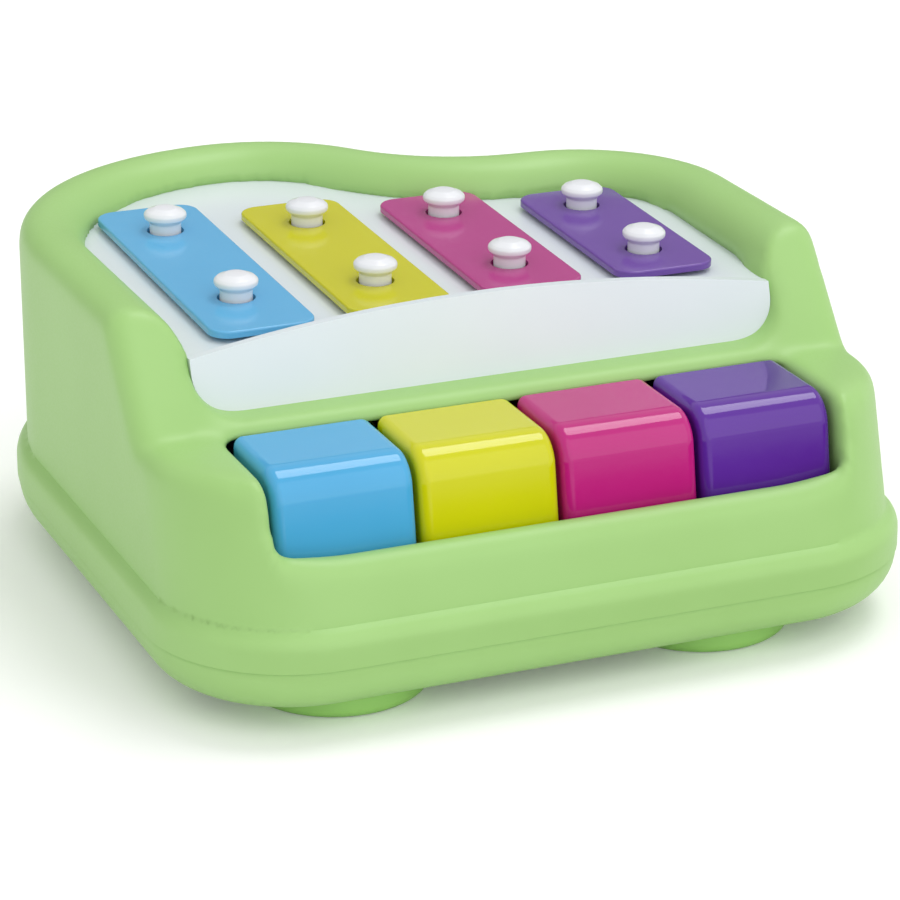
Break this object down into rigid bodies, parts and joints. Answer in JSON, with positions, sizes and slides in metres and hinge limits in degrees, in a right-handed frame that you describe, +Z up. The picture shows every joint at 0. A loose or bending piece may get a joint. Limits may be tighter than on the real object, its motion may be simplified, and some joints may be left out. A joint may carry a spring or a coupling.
{
  "type": "toy piano",
  "caption": "Toy piano with a grand-piano outline: coloured rocking keys drive hammers that strike loose metal tone bars on pegs above a white deck.",
  "frame": {"origin": "centre of the overall footprint, on the floor plane under the feet", "axes": "+X along the keyboard to the player's right, +Y away from the player, +Z up"},
  "size_m": [0.22, 0.2302, 0.098],
  "materials": {
    "green_plastic": "satin",
    "white_plastic": "gloss",
    "peg_plastic": "gloss",
    "foot_plastic": "satin",
    "blue_plastic": "gloss",
    "yellow_plastic": "gloss",
    "pink_plastic": "gloss",
    "purple_plastic": "gloss",
    "blue_bar_paint": "gloss",
    "yellow_bar_paint": "gloss",
    "pink_bar_paint": "gloss",
    "purple_bar_paint": "gloss",
    "tip_plastic": "matte",
    "cushion_foam": "matte",
    "felt": "matte",
    "steel": "satin",
    "spring_steel": "satin"
  },
  "bodies": {
    "housing": {"upper_housing": "green_plastic", "lower_housing": "green_plastic", "deck_panel": "white_plastic", "pivot_rod": "steel", "tail_rest_felt": "felt", "key_stop_felt": "felt", "bar_pegs": "peg_plastic", "bar_cushions": "cushion_foam", "housing_screws": "steel", "deck_screws": "steel", "foot_front_left": "foot_plastic", "foot_front_right": "foot_plastic", "foot_rear_left": "foot_plastic", "foot_rear_right": "foot_plastic", "return_spring_blue": "spring_steel", "return_spring_yellow": "spring_steel", "return_spring_pink": "spring_steel", "return_spring_purple": "spring_steel"},
    "rocking_key_blue": {"key_blue": "blue_plastic", "hammer_tip_blue": "tip_plastic"},
    "loose_bar_blue": {"tone_bar_blue": "blue_bar_paint"},
    "rocking_key_yellow": {"key_yellow": "yellow_plastic", "hammer_tip_yellow": "tip_plastic"},
    "loose_bar_yellow": {"tone_bar_yellow": "yellow_bar_paint"},
    "rocking_key_pink": {"key_pink": "pink_plastic", "hammer_tip_pink": "tip_plastic"},
    "loose_bar_pink": {"tone_bar_pink": "pink_bar_paint"},
    "rocking_key_purple": {"key_purple": "purple_plastic", "hammer_tip_purple": "tip_plastic"},
    "loose_bar_purple": {"tone_bar_purple": "purple_bar_paint"}
  },
  "joints": [
    {"name": "key_blue_press", "type": "hinge", "parent": "housing", "child": "rocking_key_blue", "pos_m": [-0.0615, -0.0278, 0.05001], "axis": [1, 0, 0], "range_deg": [0, 6.8], "stiffness_Nm_per_rad": 0.15, "springref_deg": -11.46, "deforming": ["return_spring_blue"]},
    {"name": "key_yellow_press", "type": "hinge", "parent": "housing", "child": "rocking_key_yellow", "pos_m": [-0.0205, -0.0278, 0.05001], "axis": [1, 0, 0], "range_deg": [0, 6.8], "stiffness_Nm_per_rad": 0.15, "springref_deg": -11.46, "deforming": ["return_spring_yellow"]},
    {"name": "key_pink_press", "type": "hinge", "parent": "housing", "child": "rocking_key_pink", "pos_m": [0.0205, -0.0278, 0.05001], "axis": [1, 0, 0], "range_deg": [0, 6.8], "stiffness_Nm_per_rad": 0.15, "springref_deg": -11.46, "deforming": ["return_spring_pink"]},
    {"name": "key_purple_press", "type": "hinge", "parent": "housing", "child": "rocking_key_purple", "pos_m": [0.0615, -0.0278, 0.05001], "axis": [1, 0, 0], "range_deg": [0, 6.8], "stiffness_Nm_per_rad": 0.15, "springref_deg": -11.46, "deforming": ["return_spring_purple"]},
    {"name": "bar_blue_lift", "type": "slide", "parent": "housing", "child": "loose_bar_blue", "axis": [0, -0.0262, 0.9997], "range_m": [0, 0.0028]},
    {"name": "bar_yellow_lift", "type": "slide", "parent": "housing", "child": "loose_bar_yellow", "axis": [0, -0.0262, 0.9997], "range_m": [0, 0.0028]},
    {"name": "bar_pink_lift", "type": "slide", "parent": "housing", "child": "loose_bar_pink", "axis": [0, -0.0262, 0.9997], "range_m": [0, 0.0028]},
    {"name": "bar_purple_lift", "type": "slide", "parent": "housing", "child": "loose_bar_purple", "axis": [0, -0.0262, 0.9997], "range_m": [0, 0.0028]}
  ]
}
